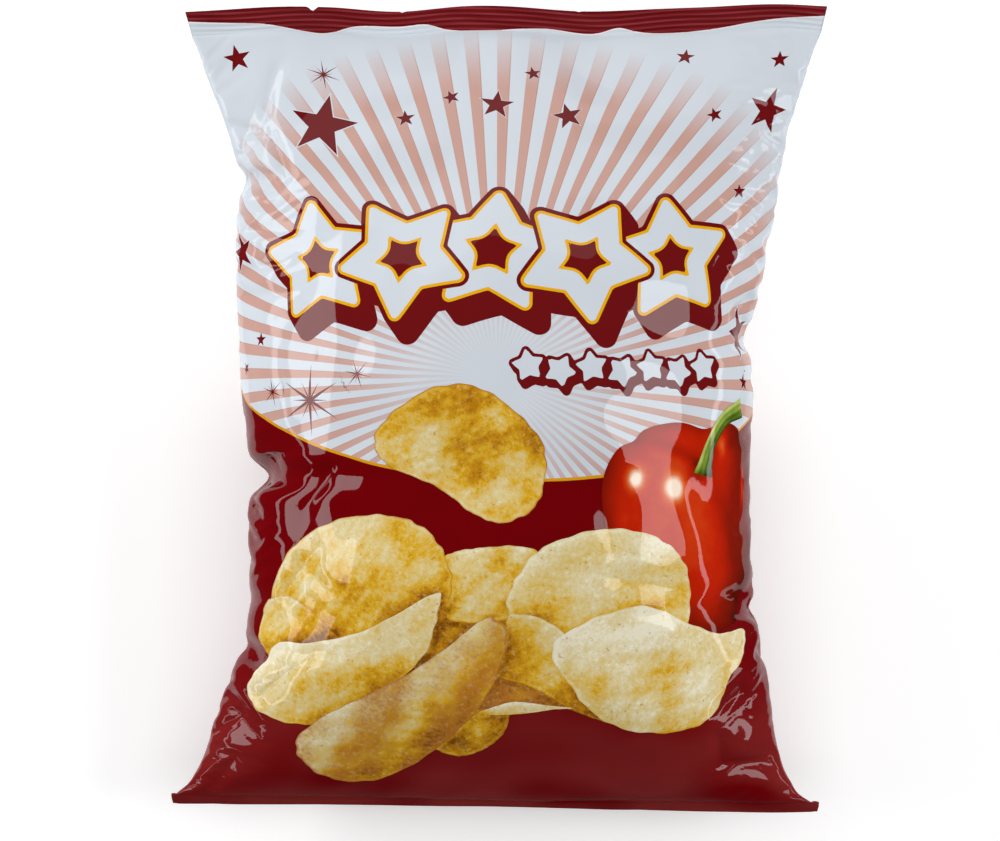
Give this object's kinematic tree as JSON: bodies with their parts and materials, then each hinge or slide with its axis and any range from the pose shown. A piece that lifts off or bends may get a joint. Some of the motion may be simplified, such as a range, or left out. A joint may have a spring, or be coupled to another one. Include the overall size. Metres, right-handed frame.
{
  "type": "bag of crisps",
  "caption": "Full pillow bag of crisps in glossy printed film, welded across both ends, lying on its back with its front up.",
  "frame": {"origin": "under the middle of the bag's bounding box, on the surface that it lies on", "axes": "+X to the right of the front, +Y towards the top weld, +Z out of the front"},
  "size_m": [0.272, 0.3366, 0.1108],
  "materials": {
    "film": "glossy printed film, white and dark red"
  },
  "bodies": {
    "root": {"bag": "film"}
  },
  "joints": []
}
